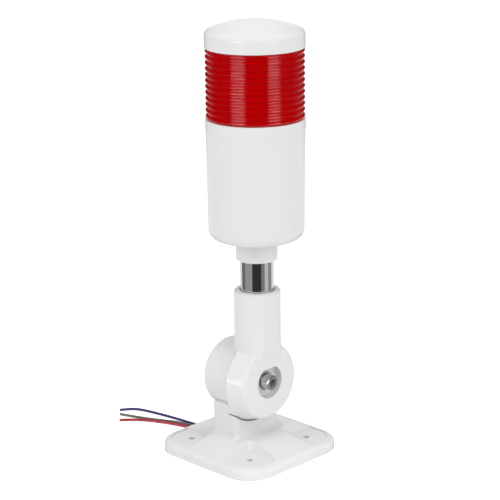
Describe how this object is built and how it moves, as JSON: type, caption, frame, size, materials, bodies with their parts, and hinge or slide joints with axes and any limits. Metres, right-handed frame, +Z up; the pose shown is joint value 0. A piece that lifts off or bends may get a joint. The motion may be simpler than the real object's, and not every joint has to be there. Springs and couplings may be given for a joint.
{
  "type": "signal tower light",
  "caption": "Single tier red signal tower light on a steel pole, with a folding hinge on a square screw-down base.",
  "frame": {"origin": "centre of the base plate's underside", "axes": "+Z up along the tower, +X along the fold pivot from the fixed ear to the arm, leads leave towards -X"},
  "size_m": [0.1263, 0.0726, 0.2295],
  "materials": {
    "white_abs": "moulded gloss white",
    "red_lens": "ribbed translucent red",
    "chrome_tube": "bright plated",
    "zinc_steel": "zinc plated",
    "seal_rubber": "moulded",
    "circuit_board": "solder mask",
    "board_parts": "moulded",
    "led_body": "clear moulded",
    "lead_blue": "wire insulation",
    "lead_grey": "wire insulation",
    "lead_red": "wire insulation"
  },
  "bodies": {
    "base": {"base": "white_abs", "pivot_screw": "zinc_steel", "pivot_washer": "zinc_steel", "pivot_nut": "zinc_steel", "wire_blue": "lead_blue", "wire_grey": "lead_grey", "wire_red": "lead_red"},
    "tower": {"arm": "white_abs", "pole": "chrome_tube", "pole_screws": "zinc_steel", "housing": "white_abs", "control_board": "circuit_board", "board_parts": "board_parts", "light_column": "white_abs", "led_strips": "circuit_board", "leds": "led_body", "inner_leads": "lead_red", "lens_seal": "seal_rubber", "cap_seal": "seal_rubber", "red_lens": "red_lens", "cap": "white_abs", "tie_screws": "zinc_steel"}
  },
  "joints": [
    {"name": "fold_hinge", "type": "hinge", "parent": "base", "child": "tower", "pos_m": [0, 0, 0.0408], "axis": [1, 0, 0], "range_deg": [-90, 90]}
  ]
}
